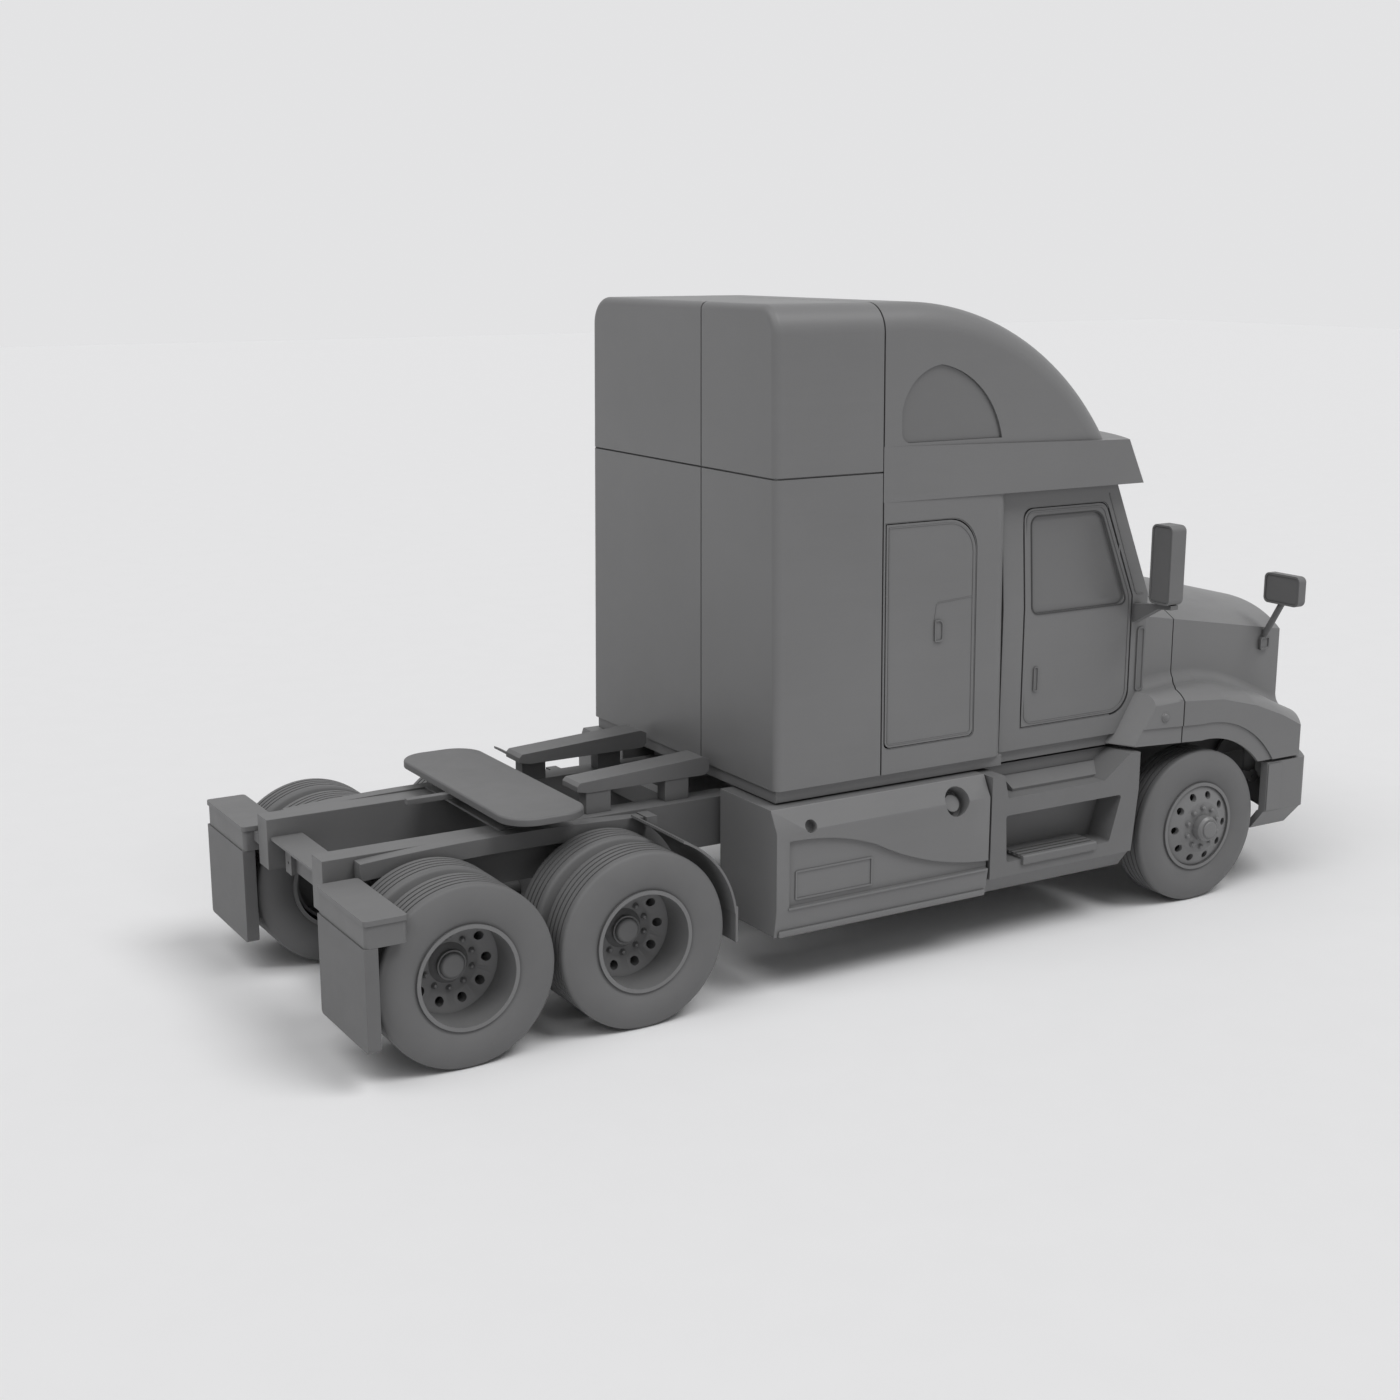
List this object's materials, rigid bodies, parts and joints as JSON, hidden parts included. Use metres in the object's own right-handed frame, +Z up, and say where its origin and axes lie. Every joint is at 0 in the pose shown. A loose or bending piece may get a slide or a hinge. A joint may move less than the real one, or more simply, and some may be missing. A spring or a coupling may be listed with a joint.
{
  "type": "sleeper cab tractor truck",
  "caption": "Conventional tractor truck with a high-roof sleeper cab, tandem dual drive axles, steered front wheels, a tilting hood, hinged doors and a pitching coupling plate.",
  "frame": {"origin": "on the road under the middle of the overall length and width", "axes": "+X forward, +Y to the left, +Z up"},
  "size_m": [7.2598, 2.79, 3.935],
  "materials": {
    "body_paint": "satin primer",
    "frame_paint": "satin",
    "cast_metal": "satin",
    "wheel_metal": "satin",
    "tyre_rubber": "matt",
    "flap_rubber": "matt",
    "dark_plastic": "matt",
    "bumper_plastic": "satin",
    "glass": "primed over",
    "lamp_lens": "gloss",
    "seat_fabric": "woven"
  },
  "bodies": {
    "chassis": {"bumper": "bumper_plastic", "bunk": "seat_fabric", "cab_floor": "body_paint", "cab_mirrors": "dark_plastic", "cab_shell": "body_paint", "cab_steps": "dark_plastic", "coupling_stand": "frame_paint", "cowl": "body_paint", "crossmembers": "frame_paint", "dashboard": "dark_plastic", "deck_beams": "frame_paint", "drive_axles": "cast_metal", "engine_gearbox": "cast_metal", "frame_rails": "frame_paint", "front_axle": "cast_metal", "front_springs": "frame_paint", "hood_brackets": "frame_paint", "mudflaps": "flap_rubber", "mudguard_shelves": "dark_plastic", "propshafts": "frame_paint", "quarter_fenders": "dark_plastic", "radiator": "frame_paint", "rear_suspension": "frame_paint", "roof_cap": "body_paint", "roof_windows": "glass", "seats": "seat_fabric", "side_tanks": "body_paint", "sleeper_back": "body_paint", "sleeper_sides": "body_paint", "windscreen": "glass"},
    "drive_wheel_rear_left": {"tyres_rear_left": "tyre_rubber", "wheels_rear_left": "wheel_metal"},
    "drive_wheel_rear_right": {"tyres_rear_right": "tyre_rubber", "wheels_rear_right": "wheel_metal"},
    "drive_wheel_middle_left": {"tyres_middle_left": "tyre_rubber", "wheels_middle_left": "wheel_metal"},
    "drive_wheel_middle_right": {"tyres_middle_right": "tyre_rubber", "wheels_middle_right": "wheel_metal"},
    "front_wheel_left": {"tyre_front_left": "tyre_rubber", "wheel_front_left": "wheel_metal"},
    "knuckle_left_body": {"knuckle_left": "cast_metal"},
    "cab_door_left_body": {"cab_door_left": "body_paint", "door_glass_left": "glass"},
    "sleeper_door_left_body": {"sleeper_door_left": "body_paint"},
    "front_wheel_right": {"tyre_front_right": "tyre_rubber", "wheel_front_right": "wheel_metal"},
    "knuckle_right_body": {"knuckle_right": "cast_metal"},
    "cab_door_right_body": {"cab_door_right": "body_paint", "door_glass_right": "glass"},
    "sleeper_door_right_body": {"sleeper_door_right": "body_paint"},
    "hood_body": {"hood": "body_paint", "grille": "dark_plastic", "headlamps": "lamp_lens", "hood_mirrors": "dark_plastic"},
    "coupling_plate_body": {"coupling_plate": "cast_metal"}
  },
  "joints": [
    {"name": "spin_rear_left", "type": "hinge", "parent": "chassis", "child": "drive_wheel_rear_left", "pos_m": [-3.03, 0.9365, 0.51], "axis": [0, 1, 0], "continuous": true},
    {"name": "spin_rear_right", "type": "hinge", "parent": "chassis", "child": "drive_wheel_rear_right", "pos_m": [-3.03, -0.9365, 0.51], "axis": [0, 1, 0], "continuous": true},
    {"name": "spin_middle_left", "type": "hinge", "parent": "chassis", "child": "drive_wheel_middle_left", "pos_m": [-1.968, 0.9365, 0.51], "axis": [0, 1, 0], "continuous": true},
    {"name": "spin_middle_right", "type": "hinge", "parent": "chassis", "child": "drive_wheel_middle_right", "pos_m": [-1.968, -0.9365, 0.51], "axis": [0, 1, 0], "continuous": true},
    {"name": "steer_left", "type": "hinge", "parent": "chassis", "child": "knuckle_left_body", "pos_m": [2.248, 0.93, 0.51], "axis": [0, 0, 1], "range_deg": [-35, 35]},
    {"name": "steer_right", "type": "hinge", "parent": "chassis", "child": "knuckle_right_body", "pos_m": [2.248, -0.93, 0.51], "axis": [0, 0, 1], "range_deg": [-35, 35]},
    {"name": "spin_front_left", "type": "hinge", "parent": "knuckle_left_body", "child": "front_wheel_left", "pos_m": [2.248, 1.0485, 0.51], "axis": [0, 1, 0], "continuous": true},
    {"name": "spin_front_right", "type": "hinge", "parent": "knuckle_right_body", "child": "front_wheel_right", "pos_m": [2.248, -1.0485, 0.51], "axis": [0, 1, 0], "continuous": true},
    {"name": "open_cab_door_left", "type": "hinge", "parent": "chassis", "child": "cab_door_left_body", "pos_m": [1.57, 1.024, 2], "axis": [0, 0, -1], "range_deg": [0, 70]},
    {"name": "open_cab_door_right", "type": "hinge", "parent": "chassis", "child": "cab_door_right_body", "pos_m": [1.57, -1.024, 2], "axis": [0, 0, 1], "range_deg": [0, 70]},
    {"name": "open_sleeper_door_left", "type": "hinge", "parent": "chassis", "child": "sleeper_door_left_body", "pos_m": [-0.135, 1.07, 2], "axis": [0, 0, 1], "range_deg": [0, 85]},
    {"name": "open_sleeper_door_right", "type": "hinge", "parent": "chassis", "child": "sleeper_door_right_body", "pos_m": [-0.135, -1.07, 2], "axis": [0, 0, -1], "range_deg": [0, 85]},
    {"name": "tilt_hood", "type": "hinge", "parent": "chassis", "child": "hood_body", "pos_m": [3.39, 0, 0.55], "axis": [0, 1, 0], "range_deg": [0, 75]},
    {"name": "pitch_coupling_plate", "type": "hinge", "parent": "chassis", "child": "coupling_plate_body", "pos_m": [-2.325, 0, 1.1], "axis": [0, 1, 0], "range_deg": [-12, 12]}
  ],
  "couplings": [
    {"joint": "steer_right", "follows": "steer_left", "ratio": 1}
  ]
}
